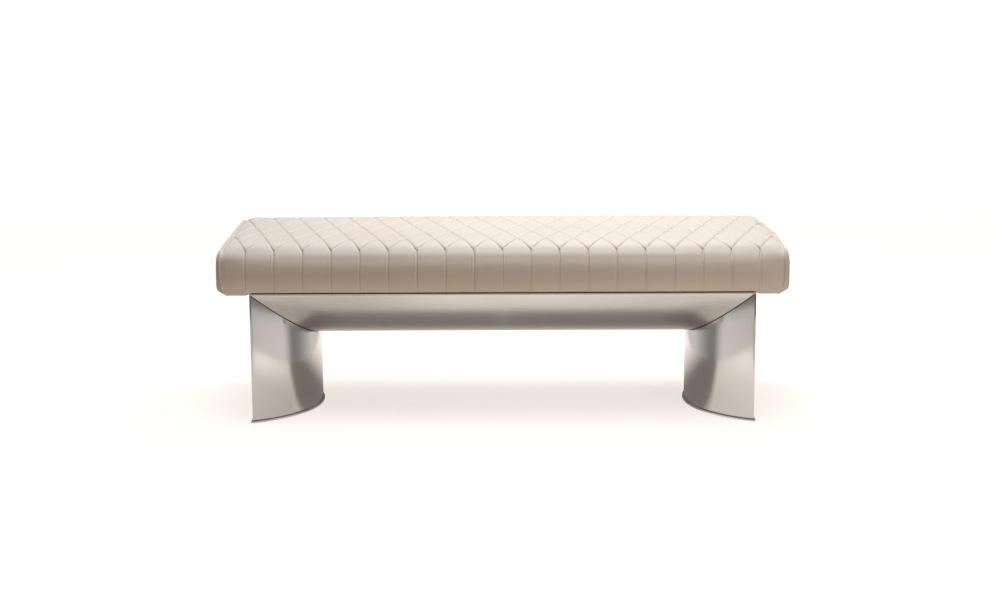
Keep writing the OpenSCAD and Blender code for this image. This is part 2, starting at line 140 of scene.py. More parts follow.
def shade_smooth(mesh: Mesh, crease: float = 180.0) -> None:
    """Shades a mesh smooth, apart from its sharper edges.

    Args:
        mesh: The mesh.
        crease: Angle in degrees from which an edge stays sharp.
    """
    mesh.shade_smooth()
    if crease < 180.0:
        mesh.set_sharp_from_angle(angle=math.radians(crease))


def ramp(value: np.ndarray | float) -> np.ndarray:
    """Smooth step from 0 to 1 over the range 0 to 1."""
    t = np.clip(value, 0.0, 1.0)
    return t * t * (3.0 - 2.0 * t)


def spline_rows(values: np.ndarray, count: int) -> np.ndarray:
    """Reads a lattice at another number of rows through a cubic B-spline, which also smooths it.

    Args:
        values: The lattice, with its rows along the first axis and one value or more at each place.
        count: The number of rows wanted.

    Returns:
        The lattice with that number of rows.
    """
    place = np.linspace(0.0, len(values) - 1.0, count)
    start = np.minimum(place.astype(int), len(values) - 2)
    t = (place - start)[:, None, None]
    weights = ((1.0 - t) ** 3, 3.0 * t ** 3 - 6.0 * t ** 2 + 4.0,
               -3.0 * t ** 3 + 3.0 * t ** 2 + 3.0 * t + 1.0, t ** 3)
    rows = [values[np.clip(start + shift, 0, len(values) - 1)] for shift in (-1, 0, 1, 2)]
    return sum(row * weight for row, weight in zip(rows, weights)) / 6.0


def lofted(name: str, rings: np.ndarray, capped: bool = True) -> Mesh:
    """Joins closed rings of points into one mesh.

    Args:
        name: Name of the mesh.
        rings: The rings, each with the same number of points.
        capped: Closes the first and the last ring with a face.

    Returns:
        The mesh, with its faces outwards and its doubles merged.
    """
    index = np.arange(rings.shape[0] * rings.shape[1]).reshape(rings.shape[:2])
    after = np.roll(index, -1, axis=1)
    faces = np.stack([index[:-1], after[:-1], after[1:], index[1:]], axis=-1).reshape(-1, 4).tolist()
    if capped:
        faces += [index[0].tolist(), index[-1].tolist()]
    mesh = bpy.data.meshes.new(name)
    mesh.from_pydata(rings.reshape(-1, 3).tolist(), [], faces)
    bm = bmesh.new()
    bm.from_mesh(mesh)
    bmesh.ops.remove_doubles(bm, verts=bm.verts, dist=0.001 * MM)
    bmesh.ops.recalc_face_normals(bm, faces=bm.faces)
    bm.to_mesh(mesh)
    bm.free()
    return mesh


# Materials

def preset(node: Node, **values: object) -> None:
    """Sets plain inputs of a node; an underscore in a name stands for a space."""
    for name, value in values.items():
        node.inputs[name.replace("_", " ")].default_value = value


class Nodes:
    """A short way to write shader nodes into one node tree."""

    def __init__(self, tree: NodeTree) -> None:
        """Keeps the tree that the nodes go into."""
        self.tree = tree

    def add(self, kind: str, **settings: object) -> Node:
        """Adds one node.

        Args:
            kind: Type of the node.
            settings: Properties of the node, such as its operation.

        Returns:
            The node.
        """
        node = self.tree.nodes.new(kind)
        for name, value in settings.items():
            setattr(node, name, value)
        return node

    def plug(self, source: object, target: NodeSocket) -> None:
        """Links a socket to another one, or sets a plain value."""
        if isinstance(source, NodeSocket):
            self.tree.links.new(source, target)
        else:
            target.default_value = source

    def here(self) -> NodeSocket:
        """Gives the place on the object."""
        return self.add("ShaderNodeTexCoord").outputs["Object"]

    def math(self, operation: str, *inputs: object) -> NodeSocket:
        """Adds a math node and gives its result."""
        node = self.add("ShaderNodeMath", operation=operation)
        for socket, value in zip(node.inputs, inputs):
            self.plug(value, socket)
        return node.outputs[0]

    def noise(self, vector: object, scale: object, detail: float = 2.0,
              rough: float = 0.5) -> NodeSocket:
        """Adds a noise texture and gives its value.

        Args:
            vector: Where it is read.
            scale: Its scale.
            detail: Number of finer layers.
            rough: Weight of the finer layers.

        Returns:
            The value, about 0 to 1.
        """
        node = self.add("ShaderNodeTexNoise")
        self.plug(vector, node.inputs["Vector"])
        self.plug(scale, node.inputs["Scale"])
        preset(node, Detail=detail, Roughness=rough)
        return node.outputs["Fac"]

    def stretched(self, vector: object, scale: Sequence[float]) -> NodeSocket:
        """Scales a vector along each axis."""
        node = self.add("ShaderNodeMapping")
        self.plug(vector, node.inputs["Vector"])
        preset(node, Scale=scale)
        return node.outputs[0]

    def mix(self, share: object, low: object, high: object) -> NodeSocket:
        """Mixes two colours."""
        node = self.add("ShaderNodeMix", data_type="RGBA")
        self.plug(share, node.inputs[0])
        self.plug(low, node.inputs[6])
        self.plug(high, node.inputs[7])
        return node.outputs[2]

    def spread(self, value: object, low: float, high: float, to_low: float = 0.0,
               to_high: float = 1.0, soft: bool = False) -> NodeSocket:
        """Maps a value from one range to another, and holds it there; soft eases both ends."""
        node = self.add("ShaderNodeMapRange", interpolation_type="SMOOTHSTEP" if soft else "LINEAR")
        for socket, number in zip(node.inputs, (value, low, high, to_low, to_high)):
            self.plug(number, socket)
        return node.outputs[0]

    def bump(self, height: object, distance: float, strength: float = 1.0) -> NodeSocket:
        """Adds a bump node and gives its normal."""
        node = self.add("ShaderNodeBump")
        preset(node, Strength=strength, Distance=distance)
        self.plug(height, node.inputs["Height"])
        return node.outputs[0]


def colour(rgb: Sequence[float]) -> tuple[float, float, float, float]:
    """Gives a colour its fourth value."""
    return (rgb[0], rgb[1], rgb[2], 1.0)


def mottle_group() -> NodeTree:
    """Builds the group that varies a colour in soft patches and fine specks.

    Returns:
        The group, with the inputs Colour, Shade, Patch and Speck.
    """
    tree = bpy.data.node_groups.new("soft_mottle", "ShaderNodeTree")
    for way, titles in (("INPUT", ("Colour", "Shade", "Patch", "Speck")), ("OUTPUT", ("Colour", "Mask"))):
        for title in titles:
            kind = "NodeSocketColor" if title in ("Colour", "Shade") else "NodeSocketFloat"
            tree.interface.new_socket(name=title, in_out=way, socket_type=kind)
    n = Nodes(tree)
    source, sink = n.add("NodeGroupInput"), n.add("NodeGroupOutput")
    place = n.here()
    both = n.math("ADD", n.math("MULTIPLY", n.noise(place, source.outputs["Patch"]), 0.65),
                  n.math("MULTIPLY", n.noise(place, source.outputs["Speck"]), 0.35))
    mask = n.spread(both, 0.38, 0.62)
    n.plug(n.mix(mask, source.outputs["Colour"], source.outputs["Shade"]), sink.inputs["Colour"])
    n.plug(mask, sink.inputs["Mask"])
    return tree


@dataclass(frozen=True)
class Finish:
    """One finish: a Principled shader with a mottled colour and a bump of its own."""

    name: str
    base: tuple[float, float, float]
    shade: tuple[float, float, float]
    rough: float = 0.5
    metallic: float = 0.0
    patch: float = 5.0
    speck: float = 300.0

    def build(self, groups: dict[str, NodeTree]) -> Material:
        """Builds the material.

        Args:
            groups: The shared node groups by name.

        Returns:
            The material.
        """
        material = bpy.data.materials.new(self.name)
        material.use_nodes = True
        n = Nodes(material.node_tree)
        shader = material.node_tree.nodes["Principled BSDF"]
        preset(shader, Roughness=self.rough, Metallic=self.metallic)
        mottle = n.add("ShaderNodeGroup", node_tree=groups["mottle"])
        preset(mottle, Colour=colour(self.base), Shade=colour(self.shade), Patch=self.patch,
               Speck=self.speck)
        self.dress(n, shader, mottle)
        return material

    def dress(self, n: Nodes, shader: Node, mottle: Node) -> None:
        """Links colour and bump to the shader."""
        n.plug(mottle.outputs["Colour"], shader.inputs["Base Color"])
        n.plug(n.bump(mottle.outputs["Mask"], 0.2 * MM), shader.inputs["Normal"])


@dataclass(frozen=True)
class LeatherFinish(Finish):
    """Soft full-grain leather, with pores and faint creases, and painted shade along the seams."""

    # Dark brown of the painted shade in the seams' grooves.
    seam_painted_shade: tuple[float, float, float] = (0.32, 0.22, 0.15)
    grain: float = 900.0
    seam_mm: float = 1.6

    def dress(self, n: Nodes, shader: Node, mottle: Node) -> None:
        """Adds the grain, and paints shade along the seams by the quilting's own attribute."""
        place = n.here()
        cells = n.add("ShaderNodeTexVoronoi", feature="DISTANCE_TO_EDGE")
        n.plug(place, cells.inputs["Vector"])
        preset(cells, Scale=self.grain)
        pores = n.spread(cells.outputs["Distance"], 0.0, 0.25)
        creases = n.noise(place, 130.0, 4.0, 0.6)
        height = n.math("ADD", n.math("MULTIPLY", pores, 0.35), n.math("MULTIPLY", creases, 0.65))
        # Painted shade: within seam_mm of each seam and tuck crease, the colour is drawn three quarters
        # of the way to a dark brown, as shade in the grooves.
        quilting = n.add("ShaderNodeAttribute", attribute_name="seam_mm")
        seam = n.spread(quilting.outputs["Fac"], 0.0, self.seam_mm, 1.0, 0.0)
        tone = n.mix(n.math("MULTIPLY", seam, 0.75), mottle.outputs["Colour"],
                     colour(self.seam_painted_shade))
        n.plug(tone, shader.inputs["Base Color"])
        n.plug(n.spread(creases, 0.3, 0.7, self.rough - 0.05, self.rough + 0.06),
               shader.inputs["Roughness"])
        n.plug(n.bump(height, 0.12 * MM, 0.8), shader.inputs["Normal"])
        preset(shader, Specular_IOR_Level=0.25, Sheen_Weight=0.15, Sheen_Roughness=0.5)


@dataclass(frozen=True)
class BrushedFinish(Finish):
    """Satin metal with fine brush lines along one axis."""

    lines: tuple[float, float, float] = (1.0, 1.0, 1.0)

    def dress(self, n: Nodes, shader: Node, mottle: Node) -> None:
        """Adds the brush lines to roughness and bump."""
        place = n.here()
        brush = n.noise(n.stretched(place, self.lines), 1.0, 3.0, 0.65)
        n.plug(mottle.outputs["Colour"], shader.inputs["Base Color"])
        n.plug(n.spread(brush, 0.3, 0.7, self.rough - 0.02, self.rough + 0.03),
               shader.inputs["Roughness"])
        n.plug(n.bump(brush, 0.004 * MM, 0.3), shader.inputs["Normal"])


@dataclass(frozen=True)
class WoodFinish(Finish):
    """Plywood with its plies and grain."""

    def dress(self, n: Nodes, shader: Node, mottle: Node) -> None:
        """Adds plies over the height and grain along the length."""
        place = n.here()
        grain = n.noise(n.stretched(place, (12.0, 160.0, 900.0)), 1.0, 5.0, 0.6)
        tone = n.mix(n.spread(grain, 0.35, 0.65), mottle.outputs["Colour"],
                     colour([0.7 * v for v in self.shade]))
        n.plug(tone, shader.inputs["Base Color"])
        n.plug(n.bump(grain, 0.2 * MM), shader.inputs["Normal"])


@dataclass(frozen=True)
class WovenFinish(Finish):
    """Plain woven or felted cloth."""

    threads: float = 2200.0

    def dress(self, n: Nodes, shader: Node, mottle: Node) -> None:
        """Adds a weave of two crossing waves."""
        place = n.here()
        split = n.add("ShaderNodeSeparateXYZ")
        n.plug(place, split.inputs[0])
        along = n.math("SINE", n.math("MULTIPLY", split.outputs[0], self.threads))
        across = n.math("SINE", n.math("MULTIPLY", split.outputs[1], self.threads))
        n.plug(mottle.outputs["Colour"], shader.inputs["Base Color"])
        n.plug(n.bump(n.math("MULTIPLY", along, across), 0.15 * MM), shader.inputs["Normal"])
        preset(shader, Sheen_Weight=0.2)


class Palette:
    """All finishes of the bench, built once."""

    def __init__(self) -> None:
        """Builds the shared groups and each material."""
        groups = {"mottle": mottle_group()}
        finishes = {
            "leather": LeatherFinish("cream_leather", (0.725, 0.640, 0.560), (0.70, 0.612, 0.53),
                                     0.58, 0.0, 6.0, 220.0),
            "thread": Finish("sewing_thread", (0.74, 0.62, 0.50), (0.66, 0.54, 0.43), 0.6,
                             0.0, 40.0, 2000.0),
            "beam_metal": BrushedFinish("satin_metal_along", (0.66, 0.63, 0.60),
                                        (0.645, 0.615, 0.585), 0.28, 1.0, 2.0, 60.0,
                                        (6.0, 2600.0, 2600.0)),
            "leg_metal": BrushedFinish("satin_metal_upright", (0.66, 0.635, 0.61),
                                       (0.645, 0.62, 0.595), 0.15, 1.0, 2.0, 60.0,
                                       (2600.0, 2600.0, 6.0)),
            # A paler, rougher copy of the satin metal for the foot plates: the paler colour paints the
            # light their rims catch, and the higher roughness is real.
            "edge_metal": BrushedFinish("satin_metal_edges", (0.74, 0.715, 0.69),
                                        (0.72, 0.69, 0.665), 0.45, 1.0, 2.0, 60.0,
                                        (2600.0, 2600.0, 6.0)),
            "inner_steel": Finish("mill_steel", (0.16, 0.155, 0.15), (0.11, 0.105, 0.1), 0.55,
                                  0.9, 12.0, 400.0),
            "screw_steel": Finish("zinc_plated_steel", (0.5, 0.5, 0.52), (0.42, 0.42, 0.44),
                                  0.35, 1.0, 60.0, 900.0),
            "rubber": Finish("dark_rubber", (0.040, 0.027, 0.015), (0.052, 0.037, 0.022), 0.75,
                             0.0, 20.0, 700.0),
            "gasket": Finish("grey_gasket", (0.15, 0.14, 0.13), (0.09, 0.083, 0.075), 0.75, 0.0,
                             90.0, 900.0),
            "wood": WoodFinish("birch_plywood", (0.6, 0.44, 0.27), (0.5, 0.35, 0.2), 0.6),
            "foam": Finish("open_cell_foam", (0.75, 0.68, 0.4), (0.66, 0.58, 0.32), 0.9, 0.0,
                           30.0, 900.0),
            "wadding": WovenFinish("polyester_wadding", (0.82, 0.82, 0.8), (0.7, 0.7, 0.68), 0.95,
                                   0.0, 20.0, 500.0, 900.0),
            "cloth": WovenFinish("black_lining_cloth", (0.02, 0.02, 0.02), (0.032, 0.031, 0.03),
                                 0.9),
        }
        self.materials = {key: finish.build(groups) for key, finish in finishes.items()}

    def dress(self, obj: Object, finish: str) -> None:
        """Gives a piece one finish."""
        obj.data.materials.clear()
        obj.data.materials.append(self.materials[finish])


# Cushion

@dataclass
class Quilting:
    """The sewn pattern: long diamonds on the seat that run out in channels front and rear."""

    pitch: float = 70.18 * MM
    row_depth: float = 86.4 * MM
    front_row_y: float = -207.0 * MM
    second_row_y: float = -131.6 * MM
    rows: int = 5
    first_power: float = 0.68
    row_shift: float = 2.2 * MM
    ease: float = 0.0110
    top_span: float = 65.2 * MM
    puff: float = 3.4 * MM
    puff_run: float = 3.2 * MM
    main_pinch: float = 2.7 * MM
    cross_pinch: float = 2.3 * MM
    dimple: float = 1.8 * MM
    dimple_half: float = 3.0 * MM
    crease: float = 1.3 * MM
    crease_half: float = 1.1 * MM
    face_puff: float = 1.6 * MM
    tuck: float = 1.7 * MM
    tuck_half: float = 2.6 * MM
    tuck_crease: float = 1.5 * MM
    tuck_ridge: float = 1.9 * MM
    tuck_top: float = 433.0 * MM
    tuck_opening: float = 18.0 * MM
    tuck_fade: float = 0.75
    tuck_fade_run: float = 70.0 * MM
    turn_over: float = 30.0 * MM
    change_start: float = 10.0 * MM
    change_run: float = 18.0 * MM
    end_margin: float = 16.0 * MM
    end_run: float = 13.0 * MM
    low_run: float = 16.0 * MM
    under_edge: float = 20.0 * MM

    def lattice(self, x: np.ndarray, y: np.ndarray) -> tuple[np.ndarray, np.ndarray, np.ndarray]:
        """Gives the place in the pattern.

        Args:
            x: Places along the bench.
            y: Places across it.

        Returns:
            The two families' coordinates, whole on their seams, and the row.
        """
        behind = (y - self.second_row_y) / self.row_depth
        share = (y - self.front_row_y) / (self.second_row_y - self.front_row_y)
        first = np.clip(share, 0.0, 1.0) ** self.first_power
        row = np.clip(first + np.maximum(behind, 0.0), 0.0, self.rows)
        half_steps = 2.0 * (x - self.row_shift * row) / (self.pitch * (1.0 - self.ease * row))
        return (half_steps + row) / 2.0, (half_steps - row) / 2.0, row

    def past_rows(self, y: np.ndarray) -> np.ndarray:
        """Gives how far outside the front or rear row of junctions a place lies, in metres."""
        rear_row_y = self.second_row_y + (self.rows - 1) * self.row_depth
        return np.maximum(self.front_row_y - y, y - rear_row_y)

    def distances(self, x: np.ndarray, y: np.ndarray) -> tuple[np.ndarray, np.ndarray]:
        """Gives the signed distance to the nearest seam of each family, in metres."""
        first, second, row = self.lattice(x, y)
        on_top = (row > 0.0) & (row < self.rows)
        span = np.where(on_top, self.top_span, self.pitch)
        return (first - np.round(first)) * span, (second - np.round(second)) * span

    def on_seat(self, x: np.ndarray, y: np.ndarray) -> tuple[np.ndarray, np.ndarray]:
        """Gives the relief of the diamonds, and how near the seam is.

        The seams that run out towards the near end are pinched more than those across them, and
        where two cross they pinch together.

        Args:
            x: Places along the bench.
            y: Places across it.

        Returns:
            The height over the cushion's form, and the distance to the nearest seam.
        """
        first, second = (np.abs(v) for v in self.distances(x, y))
        to_right = ramp((x + self.turn_over) / (2.0 * self.turn_over))
        pinch_first = self.main_pinch + (self.cross_pinch - self.main_pinch) * to_right
        pinch_second = self.cross_pinch + (self.main_pinch - self.cross_pinch) * to_right
        height = self.puff - pinch_first * np.exp(-first / self.puff_run)
        height -= pinch_second * np.exp(-second / self.puff_run)
        height -= self.dimple * np.exp(-(first ** 2 + second ** 2) / self.dimple_half ** 2)
        near = np.minimum(first, second)
        return height - self.crease * np.exp(-(near / self.crease_half) ** 2), near

    def on_face(self, x: np.ndarray, y: np.ndarray, z: np.ndarray) -> tuple[np.ndarray, np.ndarray]:
        """Gives the relief of the upright channels: a narrow tuck with its crease towards the middle.

        Args:
            x: Places along the bench.
            y: Places across it.
            z: Their heights. The tuck opens over a short run below the junction.

        Returns:
            The height over the cushion's form, and the distance to the tuck's crease.
        """
        aside = self.distances(x, y)[0] * -np.sign(x)
        open_share = ramp((self.tuck_top - z) / self.tuck_opening)
        faded = ramp((self.tuck_top - self.tuck_opening - z) / self.tuck_fade_run)
        strength = 1.0 - self.tuck_fade * faded
        valley = self.tuck * np.exp(-(aside / self.tuck_half) ** 2)
        crease = np.abs(aside - 0.9 * self.tuck_half * open_share)
        ridge = np.abs(aside + 1.3 * self.tuck_half)
        height = self.face_puff * (1.0 - np.exp(-np.abs(aside) / (2.0 * self.puff_run)))
        height -= strength * (valley + self.tuck_crease * np.exp(-(crease / self.crease_half) ** 2))
        height += open_share * strength * self.tuck_ridge * np.exp(-(ridge / self.crease_half) ** 2)
        return height, crease + 0.5 * MM * open_share


@dataclass
class CushionForm:
    """The cushion's own sizes: its section, its crown and its free ends."""

    end_x: float = 692.0 * MM
    end_bulge: float = 9.0 * MM
    end_curve: float = 25.0 * MM
    crown_along: float = 3.0 * MM
    end_drop: float = 4.0 * MM
    rear_drop_right: float = 11.0 * MM
    end_draw: float = 1.0 * MM
    end_round: float = 45.0 * MM
    corner_x: float = 19.0 * MM
    corner_z: float = 60.0 * MM
    corner_run: float = 70.0 * MM
    underside: float = 326.0 * MM
    top_z: float = 446.0 * MM
    half_depth: float = 231.0 * MM
    dip: float = 6.0 * MM
    dip_start: float = 614.0 * MM
    dip_length: float = 20.0 * MM
    voxel: float = 6.0 * MM
    pressure: float = 4.0
    swell_cap: float = 4.0 * MM
    board_top: float = 348.0 * MM
    wadding_inset: float = 7.0 * MM
    wadding_rings: int = 121
    swell_places: int = 71
    near_points: int = 10
    frames: int = 12
    column_step: float = 1.1 * MM
    row_steps: int = 14
    front_mm: tuple[tuple[float, float], ...] = (
        (-150.0, 326.3), (-205.0, 326.3), (-221.0, 326.4), (-227.6, 328.8), (-230.0, 336.0),
        (-230.6, 350.0), (-231.0, 372.0), (-230.8, 388.0), (-230.0, 400.0), (-228.2, 411.0),
        (-224.2, 421.0), (-216.2, 430.2), (-203.4, 436.6), (-187.0, 439.8), (-165.0, 440.8),
        (-129.0, 441.8), (-85.0, 443.2), (-42.0, 444.4), (0.0, 445.4))
    rear_mm: tuple[tuple[float, float], ...] = (
        (45.0, 446.2), (90.0, 447.0), (135.0, 447.8), (176.0, 448.4), (203.0, 448.0),
        (219.0, 445.2), (229.6, 438.4), (235.0, 427.6), (237.6, 413.0), (238.4, 400.0),
        (238.6, 386.0), (238.0, 370.0), (236.4, 352.0), (234.0, 338.0), (229.6, 329.2),
        (222.0, 326.4), (205.0, 326.3), (150.0, 326.3))


@dataclass
class EndForm:
    """Sizes of the cushion's ends: their panels, piping and stitches."""

    panel_inset: float = 0.8 * MM
    panel_points: int = 180
    turned_in: float = 20.0 * MM
    dome_rings: int = 25
    dome_power: float = 1.6
    piping_radius: float = 2.4 * MM
    piping_out: float = 1.0 * MM
    piping_sunk: float = 1.8 * MM
    piping_run: float = 26.0 * MM
    stitch_aside: float = 5.5 * MM
    stitch_out: float = 0.1 * MM
    stitches: int = 240
    stitch_lowest: float = 336.0 * MM
    stitch_length: float = 3.0 * MM
    stitch_radius: float = 0.4 * MM


class Cushion:
    """The quilted cushion: cover, end panels, piping and stitches."""

    def __init__(self, palette: Palette) -> None:
        """Keeps the palette and the cushion's sizes."""
        self.palette = palette
        self.form = CushionForm()
        self.end = EndForm()
        self.quilting = Quilting()

    def section(self, steps: int = 1) -> np.ndarray:
        """Gives the section's outline all the way round, from the front underside to the rear.

        Args:
            steps: Number of steps between two of its points.

        Returns:
            Rows of Y and Z on a smooth curve through the middles of the outline's sides.
        """
        whole = np.array(self.form.front_mm + self.form.rear_mm) * MM
        if steps == 1:
            return whole
        return spline_rows(whole[:, None, :], (len(whole) - 1) * steps + 1)[:, 0]

    def shape(self, points: np.ndarray) -> np.ndarray:
        """Bends straight rows into the cushion's crown, drawn ends and hanging edge.

        Args:
            points: Points of a straight bar with the cushion's section.

        Returns:
            The points in their places.
        """
        f = self.form
        x = np.abs(points[:, 0])
        out = points.copy()
        height = np.clip((points[:, 2] - f.underside) / (f.top_z - 9.0 * MM - f.underside), 0.0, 1.0)
        near_end = ramp((x - (f.end_x - f.end_round)) / f.end_round) ** 2
        dip = ramp((x - f.dip_start) / f.dip_length)
        edge = np.clip(np.abs(points[:, 1]) / f.half_depth, 0.0, 1.0) ** 6
        rear_right = ramp((points[:, 1] + 60.0 * MM) / (240.0 * MM)) * (points[:, 0] > 0.0)
        drop = f.end_drop + f.rear_drop_right * rear_right
        out[:, 2] -= height * (f.crown_along * (x / f.end_x) ** 2 + drop * near_end)
        out[:, 2] -= (1.0 - height) ** 2 * f.dip * dip
        out[:, 1] *= 1.0 - near_end * edge * f.end_draw / f.half_depth
        low = np.clip(1.0 - (points[:, 2] - f.underside) / f.corner_z, 0.0, 1.0)
        inward = f.corner_x * (1.0 - np.sqrt(1.0 - low ** 2))
        out[:, 0] -= np.sign(points[:, 0]) * inward * ramp(1.0 - (f.end_x - x) / f.corner_run)
        return out

    def laid(self, places: np.ndarray, outline: np.ndarray) -> np.ndarray:
        """Lays an outline round the cushion at each place.

        Args:
            places: Places along the bench.
            outline: Rows of Y and Z.

        Returns:
            One ring of points for each place.
        """
        straight = np.empty((len(places), len(outline), 3))
        straight[:, :, 0] = places[:, None]
        straight[:, :, 1:] = outline
        return self.shape(straight.reshape(-1, 3)).reshape(straight.shape)

    def rings(self, columns: int, steps: int) -> np.ndarray:
        """Lays the section round the cushion at even places from end to end.

        Args:
            columns: Number of places.
            steps: Number of steps between two points of the section.

        Returns:
            One ring of points for each place.
        """
        places = np.linspace(-self.form.end_x, self.form.end_x, columns)
        return self.laid(places, self.section(steps))

    def swelling(self, mesh: Mesh,
                 held: Callable[[np.ndarray], np.ndarray]) -> tuple[Mesh, np.ndarray]:
        """Remeshes a closed form and lets it swell as filled cloth does.

        Args:
            mesh: The closed form.
            held: Gives for each point how much of its movement is kept, from 0 to 1.

        Returns:
            The even mesh before it swells, and how far each of its points moves.
        """
        f = self.form
        obj = new_object("swelling", mesh)
        remesh = obj.modifiers.new("even", "REMESH")
        remesh.mode = "VOXEL"
        remesh.voxel_size = f.voxel
        even = evaluated_mesh(obj)
        obj.modifiers.clear()
        obj.data = even
        rest = read_points(even)
        step = np.zeros_like(rest)
        cloth = obj.modifiers.new("swell", "CLOTH")
        cloth.settings.use_pressure = True
        cloth.settings.uniform_pressure_force = f.pressure
        cloth.settings.quality = 4
        cloth.settings.effector_weights.gravity = 0.0
        cloth.point_cache.frame_start = 1
        cloth.point_cache.frame_end = f.frames
        for number in range(1, f.frames + 1):
            bpy.context.scene.frame_set(number)
        step = read_points(evaluated_mesh(obj)) - rest
        bpy.context.scene.frame_set(1)
        obj.modifiers.clear()
        length = np.linalg.norm(step, axis=1, keepdims=True)
        step *= np.minimum(1.0, f.swell_cap / np.maximum(length, 1e-9)) * held(rest)[:, None]
        bpy.data.objects.remove(obj)
        return even, step

    def hold_cover(self, points: np.ndarray) -> np.ndarray:
        """Says how freely the cover swells: not where it rests, and little at the end seams."""
        f = self.form
        above = ramp((points[:, 2] - f.underside - 4.0 * MM) / (30.0 * MM))
        inside = 1.0 - ramp((np.abs(points[:, 0]) - (f.end_x - f.end_round)) / f.end_round)
        return above * inside

    def hold_panel(self, points: np.ndarray) -> np.ndarray:
        """Says how freely an end panel swells: only outside the seam."""
        return ramp((np.abs(points[:, 0]) - self.form.end_x) / (6.0 * MM))

    def swollen_rings(self, columns: int, steps: int) -> np.ndarray:
        """Gives the cover's rings after the filling has pressed it out.

        Args:
            columns: Number of rings.
            steps: Number of steps between two points of the section.

        Returns:
            The rings, swollen.
        """
        rings = self.rings(columns, steps)
        even, step = self.swelling(lofted("cushion_form", self.rings(160, 2)), self.hold_cover)
        rest = read_points(even)
        tree = KDTree(len(rest))
        for number, place in enumerate(rest):
            tree.insert(place, number)
        tree.balance()
        sparse = self.rings(self.form.swell_places, 1)
        moved = np.array([step[[hit[1] for hit in tree.find_n(place, self.form.near_points)]].mean(axis=0)
                          for place in sparse.reshape(-1, 3)]).reshape(sparse.shape)
        along = spline_rows(moved, columns)
        return rings + spline_rows(along.swapaxes(0, 1), rings.shape[1]).swapaxes(0, 1)

    def quilt(self, mesh: Mesh) -> None:
        """Sews the pattern into the cover: tufts between the seams, and a pinch along them.

        Args:
            mesh: The swollen cover. It also gets the distance to the nearest seam as an attribute.
        """
        q, f = self.quilting, self.form
        points, normals = read_points(mesh), read_points(mesh, "normal")
        x, y, z = points.T
        seat, seat_near = q.on_seat(x, y)
        face, face_near = q.on_face(x, y, z)
        share = ramp((q.past_rows(y) + q.change_start) / q.change_run)
        height = seat + (face - seat) * share
        near = seat_near + (face_near - seat_near) * share
        at_end = 1.0 - ramp((np.abs(x) - (f.end_x - q.end_margin)) / q.end_run)
        lift = height * at_end * ramp((z - f.underside) / q.low_run)
        below = (normals[:, 2] < -0.5) & (z < f.underside + q.under_edge)
        lift[below] = 0.0
        write_points(mesh, points + normals * lift[:, None])
        near[below | (at_end < 0.1)] = NO_SEAM
        mark_seams(mesh, near)

    def make_cover(self) -> Object:
        """Makes the quilted cover."""
        f = self.form
        columns = int(2.0 * f.end_x / f.column_step)
        mesh = lofted("cover", self.swollen_rings(columns, f.row_steps))
        shade_smooth(mesh)
        self.quilt(mesh)
        cover = new_object("quilted_leather_cover", mesh)
        self.palette.dress(cover, "leather")
        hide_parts("quilted_cover", "left_end_strip", "right_end_strip")
        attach(cover, "root")
        return cover

    def make_wadding(self) -> None:
        """Makes the hidden wadding: the cushion's own form, drawn in under the cover."""
        f = self.form
        outline = self.section(2)
        outline = outline[outline[:, 1] > f.board_top + 2.0 * MM]
        inside = 1.0 - f.wadding_inset / np.array([f.half_depth, f.top_z - f.board_top])
        outline = (outline - (0.0, f.board_top)) * inside + (0.0, f.board_top)
        outline[[0, -1], 1] = f.board_top
        places = np.linspace(-1.0, 1.0, f.wadding_rings) * (f.end_x - f.wadding_inset)
        mesh = lofted("wadding", self.laid(places, outline))
        shade_smooth(mesh, 50.0)
        wadding = new_object("wadding_layer", mesh)
        self.palette.dress(wadding, "wadding")
        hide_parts("wadding_wrap")
        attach(wadding, "root")

    def end_loop(self, side: Side, grow: float = 0.0, count: int = 360) -> np.ndarray:
        """Gives the cushion's outline at one end seam, closed under the cushion.

        Args:
            side: Which end.
            grow: How far outside the leather the outline lies.
            count: Number of points.

        Returns:
            Evenly spaced points, from the front underside over the top to the rear.
        """
        closed = self.laid(np.array([side.value * self.form.end_x]), self.section(8))[0]
        closed = np.vstack([closed, closed[:1]])
        run = np.concatenate([[0.0], np.cumsum(np.linalg.norm(np.diff(closed, axis=0), axis=1))])
        places = np.linspace(0.0, run[-1], count + 1)[:-1]
        even = np.column_stack([np.interp(places, run, closed[:, i]) for i in range(3)])
        tangent = np.roll(even, -1, axis=0) - np.roll(even, 1, axis=0)
        outward = np.column_stack([np.zeros(count), -tangent[:, 2], tangent[:, 1]])
        outward /= np.linalg.norm(outward, axis=1, keepdims=True)
        return even + outward * grow

    def make_end(self, side: Side) -> None:
        """Makes an end panel, its piping and the stitches beside it."""
        self.make_end_panel(side)
        self.make_piping(side)
        self.make_end_stitches(side)

